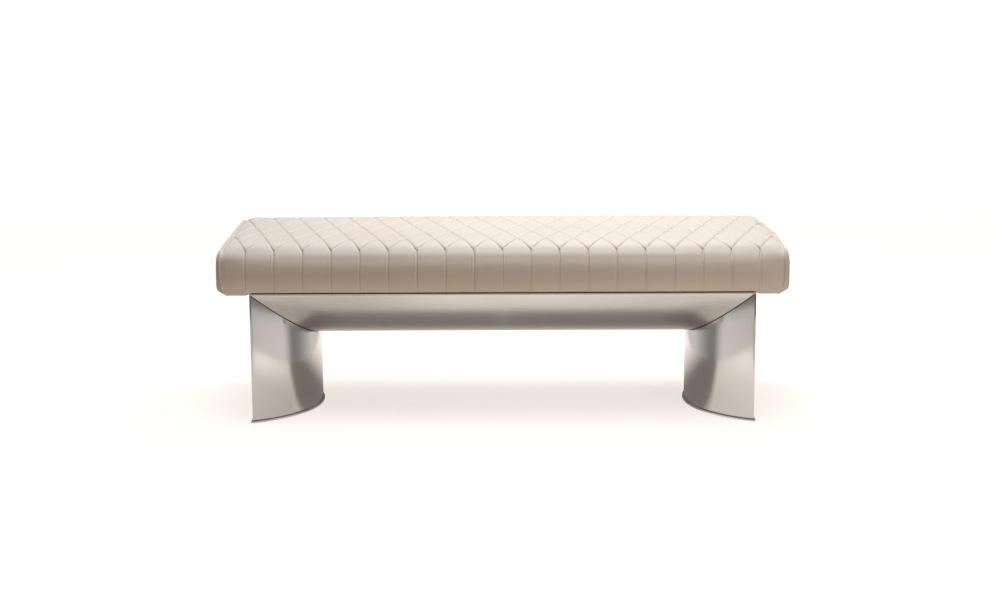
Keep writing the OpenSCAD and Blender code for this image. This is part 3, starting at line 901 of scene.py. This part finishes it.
    def make_end_panel(self, side: Side) -> None:
        """Makes the padded panel that closes one end: a dome over the end seam."""
        f, e = self.form, self.end
        loop = self.end_loop(side, -e.panel_inset, e.panel_points)
        middle_z = (loop[:, 2].min() + loop[:, 2].max()) / 2.0
        reach = f.half_depth - (middle_z - loop[:, 2].min())
        spine = np.column_stack([loop[:, 0], np.clip(loop[:, 1], -reach, reach),
                                 np.full(len(loop), middle_z)])
        spine[:, 0] = side.value * f.end_x
        depth = np.linalg.norm(spine[:, 1:] - loop[:, 1:], axis=1)
        inwards = (side.value * e.turned_in, 0.0, 0.0)
        rings = [spine - inwards, loop - inwards]
        for share in np.linspace(0.0, 1.0, e.dome_rings) ** e.dome_power:
            near = np.clip(share * depth / f.end_curve, 0.0, 1.0)
            rise = np.sqrt(1.0 - (1.0 - near) ** 2)[:, None]
            ring = loop + (spine - loop) * (0.0, share, share)
            top = side.value * (f.end_x + f.end_bulge) - loop[:, :1]
            rings.append(ring + np.hstack([top * rise, np.zeros((len(loop), 2))]))
        form = lofted(f"{side.word}_end_form", np.array(rings), capped=False)
        even, step = self.swelling(form, self.hold_panel)
        write_points(even, read_points(even) + step)
        obj = new_object("finer", even)
        finer = obj.modifiers.new("finer", "SUBSURF")
        finer.levels = 1
        finer.render_levels = 1
        mesh = evaluated_mesh(obj)
        bpy.data.objects.remove(obj)
        shade_smooth(mesh)
        mark_seams(mesh, np.full(len(mesh.vertices), NO_SEAM))
        panel = new_object(f"{side.word}_leather_end_panel", mesh)
        self.palette.dress(panel, "leather")
        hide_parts(f"{side.word}_end_panel")
        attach(panel, "root")

    def make_piping(self, side: Side) -> None:
        """Makes the piping round one end seam."""
        e = self.end
        low = self.end_loop(side, -e.piping_sunk)
        share = ramp((low[:, 2:] - self.form.underside) / e.piping_run)
        outline = low + (self.end_loop(side, e.piping_out) - low) * share
        curve = bpy.data.curves.new("piping", "CURVE")
        curve.dimensions = "3D"
        curve.bevel_depth = e.piping_radius
        curve.bevel_resolution = 3
        spline = curve.splines.new("POLY")
        spline.points.add(len(outline) - 1)
        spline.use_cyclic_u = True
        for point, place in zip(spline.points, outline):
            point.co = (*place, 1.0)
        rope = new_object("piping", curve)
        mesh = evaluated_mesh(rope)
        bpy.data.objects.remove(rope)
        shade_smooth(mesh)
        mark_seams(mesh, np.full(len(mesh.vertices), NO_SEAM))
        piping = new_object(f"{side.word}_leather_piping", mesh)
        self.palette.dress(piping, "leather")
        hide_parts(f"{side.word}_piping")
        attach(piping, "root")

    def make_end_stitches(self, side: Side) -> None:
        """Sews a row of stitches beside the piping of one end."""
        e = self.end
        shift = (side.value * e.stitch_aside, 0.0, 0.0)
        places = [Vector(place) for place in self.end_loop(side, e.stitch_out, e.stitches) - shift]
        ways = [places[(i + 1) % len(places)] - places[i - 1] for i in range(len(places))]
        keep = [i for i in range(len(places)) if places[i].z > e.stitch_lowest]
        stitches = sew([(places[i], ways[i].normalized()) for i in keep], e.stitch_length,
                       e.stitch_radius)
        obj = new_object(f"{side.word}_end_stitches", stitches)
        self.palette.dress(obj, "thread")
        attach(obj, "root")


def sew(places: Iterable[tuple[Vector, Vector]], length: float, radius: float) -> Mesh:
    """Makes one short rounded stitch at each place.

    Args:
        places: Middle and direction of each stitch.
        length: Length of a stitch.
        radius: Half its thickness.

    Returns:
        One mesh with all of them.
    """
    bm = bmesh.new()
    for middle, way in places:
        turn = way.to_track_quat("Z", "Y").to_matrix().to_4x4()
        made = bmesh.ops.create_icosphere(bm, subdivisions=1, radius=1.0)["verts"]
        bmesh.ops.scale(bm, verts=made, vec=(radius, radius, length / 2))
        bmesh.ops.transform(bm, verts=made, matrix=Matrix.Translation(middle) @ turn)
    mesh = mesh_from(bm, "stitches")
    shade_smooth(mesh)
    return mesh


# Base

@dataclass
class BaseForm:
    """Sizes of the base, from its half-round sections to its plates."""

    half_length: float = 622.0 * MM
    half_depth: float = 227.0 * MM
    top_z: float = 325.0 * MM
    leg_bulge: float = 152.0 * MM
    beam_bulge: float = 135.0 * MM
    sheet: float = 3.0 * MM
    panel: float = 4.0 * MM
    top_plate: float = 3.0 * MM
    mitre_gap: float = 2.2 * MM
    leg_z: float = 5.7 * MM
    plate_low: float = 1.5 * MM
    plate_high: float = 4.5 * MM
    proud: float = 4.0 * MM
    rim: float = 4.0 * MM
    rim_low: float = 0.3 * MM
    edge: float = 0.5 * MM
    segments: int = 96


def extrude(bm: BMesh, faces: list[BMFace], way: Sequence[float]) -> None:
    """Extrudes faces by a vector and turns all faces outwards."""
    made = bmesh.ops.extrude_face_region(bm, geom=faces)["geom"]
    moved = [v for v in made if isinstance(v, BMVert)]
    bmesh.ops.translate(bm, verts=moved, vec=way)
    bmesh.ops.recalc_face_normals(bm, faces=bm.faces)


class Base:
    """The half-round base: beam, legs, closing panels and foot plates."""

    def __init__(self, palette: Palette) -> None:
        """Keeps the palette and works out the arc of the legs' section."""
        self.palette = palette
        self.form = BaseForm()
        f = self.form
        sag = f.leg_bulge - f.panel
        self.radius = (f.half_depth ** 2 + sag ** 2) / (2.0 * sag)
        self.centre = f.panel + sag - self.radius
        self.turn = math.asin(f.half_depth / self.radius)
        self.share = f.beam_bulge / f.leg_bulge

    def arc(self, share: float, inset: float) -> list[tuple[float, float]]:
        """Gives the section's arc.

        Args:
            share: How flat it is: 1 for a leg, less for the beam.
            inset: How far inside the outer surface it lies.

        Returns:
            Points of depth from the flat side, and Y, from the front to the rear.
        """
        points = []
        for number in range(self.form.segments + 1):
            t = (2.0 * number / self.form.segments - 1.0) * self.turn
            way = Vector((math.cos(t), share * math.sin(t))).normalized()
            depth = share * (self.centre + self.radius * math.cos(t)) - inset * way.x
            points.append((depth, self.radius * math.sin(t) - inset * way.y))
        return points

    def shell(self, share: float, place: Callable[[float, float, float], tuple[float, float, float]],
              low: float, high: float) -> BMesh:
        """Extrudes the section's sheet between two places.

        Args:
            share: How flat the arc is.
            place: Turns depth, Y and the place along the extrusion into a point.
            low: Where it starts.
            high: Where it ends.

        Returns:
            A closed bmesh.
        """
        outer = self.arc(share, 0.0)
        inner = self.arc(share, self.form.sheet)
        bm = bmesh.new()
        loop = [bm.verts.new(place(d, y, low)) for d, y in outer + inner[::-1]]
        start, end = Vector(place(0.0, 0.0, low)), Vector(place(0.0, 0.0, high))
        extrude(bm, [bm.faces.new(loop)], end - start)
        return bm

    def mitre(self, bm: BMesh, side: Side, below: bool) -> None:
        """Cuts a shell on one corner's mitre plane.

        Args:
            bm: The shell.
            side: Which corner.
            below: True keeps what lies under the plane, as a leg does.
        """
        f = self.form
        corner = Vector((side.value * f.half_length, 0.0, f.top_z))
        along = Vector((-side.value * f.leg_bulge, 0.0, -f.beam_bulge)).normalized()
        up = Vector((-side.value * along.z, 0.0, side.value * along.x)).normalized()
        if up.z < 0.0:
            up = -up
        shift = up * (f.mitre_gap / 2.0) * (-1.0 if below else 1.0)
        cut = bmesh.ops.bisect_plane(bm, geom=bm.verts[:] + bm.edges[:] + bm.faces[:],
                                     plane_co=corner + shift, plane_no=up,
                                     clear_outer=below, clear_inner=not below)
        rim = [g for g in cut["geom_cut"] if isinstance(g, BMEdge)]
        bmesh.ops.contextual_create(bm, geom=rim)
        bmesh.ops.recalc_face_normals(bm, faces=bm.faces)

    def place(self, bm: BMesh, name: str, finish: str, *nodes: str) -> None:
        """Bevels a piece's sharp edges and puts it in the scene.

        Args:
            bm: The closed piece.
            name: Name of the piece.
            finish: Its finish.
            nodes: The CAD nodes it stands for.
        """
        sharp = [e for e in bm.edges if len(e.link_faces) == 2
                 and e.calc_face_angle(0.0) > math.radians(35.0)]
        bmesh.ops.bevel(bm, geom=sharp, offset=self.form.edge, affect="EDGES", segments=2,
                        profile=0.5, material=-1, clamp_overlap=True)
        mesh = mesh_from(bm, name)
        shade_smooth(mesh, 30.0)
        obj = new_object(name, mesh)
        self.palette.dress(obj, finish)
        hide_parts(*nodes)
        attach(obj, "root")

    def make_beam(self) -> None:
        """Makes the half-round sheet of the beam."""
        f = self.form
        bm = self.shell(self.share, lambda d, y, x: (x, y, f.top_z - d),
                        -f.half_length, f.half_length)
        self.mitre(bm, Side.LEFT, False)
        self.mitre(bm, Side.RIGHT, False)
        self.place(bm, "half_round_beam", "beam_metal", "beam_shell")

    def make_leg(self, side: Side) -> None:
        """Makes the half-round sheet of a leg."""
        f = self.form
        bm = self.shell(1.0, lambda d, y, z: (side.value * (f.half_length - d), y, z),
                        f.leg_z, f.top_z - f.top_plate)
        self.mitre(bm, side, True)
        self.place(bm, f"{side.word}_half_round_leg", "leg_metal", f"{side.word}_leg_shell")

    def make_panel(self, side: Side) -> None:
        """Makes the flat panel that closes a leg."""
        f = self.form
        bm = bmesh.new()
        made = bmesh.ops.create_cube(bm, size=1.0)["verts"]
        height = f.top_z - f.top_plate - f.leg_z
        bmesh.ops.scale(bm, verts=made, vec=(f.panel, 2.0 * f.half_depth, height))
        middle = (side.value * (f.half_length - f.panel / 2.0), 0.0, f.leg_z + height / 2.0)
        bmesh.ops.translate(bm, verts=made, vec=middle)
        self.place(bm, f"{side.word}_closing_panel", "leg_metal", f"{side.word}_leg_panel")

    def make_foot_plate(self, side: Side) -> None:
        """Makes a D-shaped foot plate with a rim turned down towards the floor."""
        f = self.form
        limit = f.half_depth + f.proud
        arc = [(d, y) for d, y in self.arc(1.0, -f.proud) if abs(y) < limit]
        outline = [(-f.proud, -limit), (f.panel, -limit)] + arc + [(f.panel, limit), (-f.proud, limit)]
        bm = bmesh.new()
        loop = [bm.verts.new((side.value * (f.half_length - d), y, f.plate_low)) for d, y in outline]
        extrude(bm, [bm.faces.new(loop)], (0.0, 0.0, f.plate_high - f.plate_low))
        under = min(bm.faces, key=lambda flat: flat.calc_center_median().z)
        ring = bmesh.ops.inset_region(bm, faces=[under], thickness=f.rim, use_even_offset=True)["faces"]
        extrude(bm, ring, (0.0, 0.0, f.rim_low - f.plate_low))
        bmesh.ops.delete(bm, geom=ring, context="FACES_ONLY")
        bmesh.ops.recalc_face_normals(bm, faces=bm.faces)
        self.place(bm, f"{side.word}_foot_disc", "edge_metal", f"{side.word}_foot_plate")


class HiddenParts:
    """The CAD nodes that stay as they are, with a finish for each."""

    finish_by_slot = {
        "brushed_metal": "beam_metal", "inner_steel": "inner_steel", "screw_steel": "screw_steel",
        "dark_rubber": "rubber", "plywood": "wood", "foam": "foam", "wadding": "wadding",
        "leather": "leather", "black_cloth": "cloth"}

    def __init__(self, palette: Palette) -> None:
        """Keeps the palette."""
        self.palette = palette

    def dress(self) -> None:
        """Gives every CAD node the finish of its slot."""
        for row in frame["record"]["subparts"]:
            node = frame["nodes"][row["node"]]
            thin = row["node"].endswith("foot_gasket")
            self.palette.dress(node, "gasket" if thin else self.finish_by_slot[row["material_slot"]])


# Studio

@dataclass
class Studio:
    """Floor, light and camera."""

    eye: tuple[float, float, float] = (0.0192, -4.6196, 1.1940)
    yaw: float = 0.0057
    pitch: float = 0.1797
    roll: float = -0.0051
    lens: float = 65.76
    shift_y: float = -0.0349
    air: float = 0.16
    sun: float = 2.35
    box: float = 11.5
    fill: float = 6.0
    # Opacity of the brown layer that dims the floor's bounce onto the cushion: painted shade.
    dulled: float = 0.70
    floor_glow: float = 0.70
    light_tint: tuple[float, float, float] = (0.97, 1.0, 1.04)
    # Glow of the middle card at places across Y: a painted reflection of the floor, dark where the
    # bench's shadow lies.
    band: tuple[tuple[float, float], ...] = (
        (-0.86, 0.70), (0.36, 0.78), (-0.20, 0.86), (-0.08, 0.25), (0.02, 0.30))

    def place_camera(self) -> None:
        """Puts the camera where the photograph was taken from."""
        data = bpy.data.cameras.new("camera")
        data.lens = self.lens
        data.sensor_width = 36.0
        data.sensor_fit = "HORIZONTAL"
        data.shift_y = self.shift_y
        data.clip_end = 200.0
        camera = new_object("camera", data)
        ahead = Vector((-math.sin(self.yaw) * math.cos(self.pitch),
                        math.cos(self.yaw) * math.cos(self.pitch), -math.sin(self.pitch)))
        right = Vector((math.cos(self.yaw), math.sin(self.yaw), 0.0))
        up = right.cross(ahead)
        across = right * math.cos(self.roll) + up * math.sin(self.roll)
        upward = up * math.cos(self.roll) - right * math.sin(self.roll)
        turned = Matrix((across, upward, -ahead)).transposed().to_4x4()
        camera.matrix_world = Matrix.Translation(self.eye) @ turned
        bpy.context.scene.camera = camera
        bpy.context.scene.view_settings.view_transform = "Standard"

    def plain(self, name: str, rgb: Sequence[float]) -> tuple[Material, Nodes]:
        """Makes a matt material for the studio.

        Args:
            name: Its name.
            rgb: Its colour.

        Returns:
            The material and its node writer.
        """
        material = bpy.data.materials.new(name)
        material.use_nodes = True
        shader = material.node_tree.nodes["Principled BSDF"]
        preset(shader, Base_Color=colour(rgb), Roughness=0.9, Specular_IOR_Level=0.1)
        return material, Nodes(material.node_tree)

    def lay_floor(self) -> None:
        """Lays a wide pale floor."""
        bm = bmesh.new()
        bmesh.ops.create_circle(bm, cap_ends=True, segments=64, radius=60.0)
        floor = new_object("floor", mesh_from(bm, "floor"))
        pale, nodes = self.plain("pale_floor", (0.40, 0.39, 0.38))
        preset(nodes.tree.nodes["Principled BSDF"], Emission_Color=colour((1.0, 0.97, 0.93)),
               Emission_Strength=self.floor_glow)
        floor.data.materials.append(pale)

    def card(self, name: str, low: Sequence[float], high: Sequence[float],
             material: Material, diffuse: bool) -> None:
        """Sets up a card that the camera doesn't see and that casts no shadow.

        Args:
            name: Its name.
            low: Its corner with the lowest coordinates.
            high: Its opposite corner, which differs in two of them.
            material: Its material.
            diffuse: True lets only matt surfaces see it, False only shiny ones.
        """
        first, second = (axis for axis in range(3) if low[axis] != high[axis])
        corners = [list(low) for _ in range(4)]
        corners[1][first] = corners[2][first] = high[first]
        corners[2][second] = corners[3][second] = high[second]
        bm = bmesh.new()
        bm.faces.new([bm.verts.new(corner) for corner in corners])
        card = new_object(name, mesh_from(bm, name))
        card.data.materials.append(material)
        card.visible_camera = False
        card.visible_shadow = False
        card.visible_transmission = False
        card.visible_diffuse = diffuse
        card.visible_glossy = not diffuse

    def set_cards(self) -> None:
        """Sets brown cards that shade the cushion's front and ends, a brown layer that dims the floor's
        bounce, and a painted shadow on the floor that only metal mirrors.
        """
        # Painted shade: brown cards that only matt surfaces see hold back the bounce on the cushion's
        # front and ends.
        brown = self.plain("brown_card", (0.11, 0.075, 0.045))[0]
        self.card("card_before", (-1.2, -0.36, 0.335), (1.2, -0.36, 0.9), brown, True)
        for side in Side:
            x = side.value * 0.80
            self.card(f"card_{side.word}", (x, -0.3, 0.30), (x, 0.3, 0.46), brown, True)
        # Painted shade: a brown, half-clear layer over the floor that only matt surfaces see dims and
        # warms the floor's bounce onto the cushion.
        dull = self.plain("bounce_shade", (0.40, 0.27, 0.15))[0]
        preset(dull.node_tree.nodes["Principled BSDF"], Alpha=self.dulled)
        self.card("card_dulled", (-3.0, -3.0, 0.0008), (3.0, 3.0, 0.0008), dull, True)
        # Painted shadow for the metal's reflections: a dark zone on the floor that only shiny surfaces
        # see, strongest under the bench and fainter in front and beside the legs.
        shade, n = self.plain("mirrored_shade", (0.10, 0.09, 0.08))
        split = n.add("ShaderNodeSeparateXYZ")
        n.plug(n.here(), split.inputs[0])
        x, y = n.math("ABSOLUTE", split.outputs[0]), split.outputs[1]
        sides = n.math("ADD", n.spread(split.outputs[0], -0.12, -0.45, 0.0, 0.3, soft=True),
                         n.spread(split.outputs[0], 0.15, 0.5, 0.0, 0.12, soft=True))
        below = n.math("MULTIPLY", n.spread(y, -0.16, -0.11, soft=True),
                       n.spread(y, 0.06, 0.45, 1.0, 0.45, soft=True))
        below = n.math("MULTIPLY", below, n.spread(y, 0.35, 0.75, 1.0, 0.0, soft=True))
        below = n.math("MULTIPLY", below, n.spread(x, 1.5, 2.2, 1.0, 0.0, soft=True))
        before = n.spread(y, -1.1, -0.45, 0.5, 0.0, soft=True)
        aside = n.math("MULTIPLY", sides, n.spread(y, -0.16, -0.11, 1.0, 0.0, soft=True))
        mask = n.math("MAXIMUM", n.math("MULTIPLY", below, 0.74), n.math("MAXIMUM", before, aside))
        n.plug(mask, shade.node_tree.nodes["Principled BSDF"].inputs["Alpha"])
        self.card("card_below", (-6.0, -6.0, 0.0004), (6.0, 6.0, 0.0004), shade, False)

    def set_card_between(self) -> None:
        """Stands a glowing card across the middle, which only the legs mirror: a painted reflection of
        the pale floor with a dark band for the bench's shadow.
        """
        # Painted reflection: the card glows with the floor's tones, dark where the bench's shadow lies,
        # and only shiny surfaces see it.
        band, n = self.plain("mirrored_band", (0.0, 0.0, 0.0))
        split = n.add("ShaderNodeSeparateXYZ")
        n.plug(n.here(), split.inputs[0])
        tones = n.add("ShaderNodeValToRGB")
        n.plug(n.spread(split.outputs[1], -1.0, 1.0), tones.inputs[0])
        points = tones.color_ramp.elements
        for number, (y, tone) in enumerate(self.band):
            point = points[number] if number < 2 else points.new(0.5 + y / 2.0)
            point.position = 0.5 + y / 2.0
            point.color = colour((tone, 0.97 * tone, 0.93 * tone))
        shader = n.tree.nodes["Principled BSDF"]
        n.plug(tones.outputs[0], shader.inputs["Emission Color"])
        preset(shader, Emission_Strength=1.0)
        self.card("card_between", (0.0, -1.0, 0.001), (0.0, 1.0, 0.22), band, False)

    def area(self, name: str, place: Sequence[float], aim: Sequence[float], size: Sequence[float],
             power: float, glossy: bool = True) -> None:
        """Hangs one soft box.

        Args:
            name: Its name.
            place: Its middle.
            aim: The point it faces.
            size: Its width and height.
            power: Its power in watts.
            glossy: Whether shiny surfaces mirror it.
        """
        data = bpy.data.lights.new(name, "AREA")
        data.shape = "RECTANGLE"
        data.size, data.size_y = size
        data.energy = power
        data.color = self.light_tint
        light = new_object(name, data)
        light.visible_glossy = glossy
        way = Vector(aim) - Vector(place)
        light.matrix_world = Matrix.Translation(place) @ way.to_track_quat("-Z", "Y").to_matrix().to_4x4()

    def light(self) -> None:
        """Sets the soft light: pale air, a soft sun from above, and a soft box over the middle."""
        world = bpy.data.worlds.new("studio_air")
        world.use_nodes = True
        preset(world.node_tree.nodes["Background"], Color=(1.0, 0.99, 0.98, 1.0), Strength=self.air)
        bpy.context.scene.world = world
        sun_data = bpy.data.lights.new("soft_sun", "SUN")
        sun_data.energy = self.sun
        sun_data.angle = math.radians(60.0)
        sun_data.color = self.light_tint
        sun = new_object("soft_sun", sun_data)
        sun.matrix_world = Matrix.Rotation(math.radians(2.0), 4, "X")
        self.area("box_above", (0.25, 0.4, 1.7), (0.1, 0.0, 0.45), (0.7, 0.5), self.box)
        self.area("fill_right", (1.5, -1.6, 1.0), (0.2, -0.23, 0.38), (0.8, 0.8), self.fill, False)


def main() -> None:
    """Builds the bench and its studio."""
    logging.basicConfig(level=logging.INFO, format="%(name)s: %(message)s")
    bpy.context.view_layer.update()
    studio = Studio()
    studio.place_camera()
    studio.lay_floor()
    studio.set_cards()
    studio.set_card_between()
    studio.light()
    palette = Palette()
    HiddenParts(palette).dress()
    base = Base(palette)
    base.make_beam()
    for side in Side:
        base.make_leg(side)
        base.make_panel(side)
        base.make_foot_plate(side)
        LOG.info("%s leg made", side.word)
    cushion = Cushion(palette)
    cover = cushion.make_cover()
    LOG.info("cover made, %d faces", len(cover.data.polygons))
    cushion.make_wadding()
    for side in Side:
        cushion.make_end(side)
        LOG.info("%s end made", side.word)


if __name__ == "__main__":
    main()
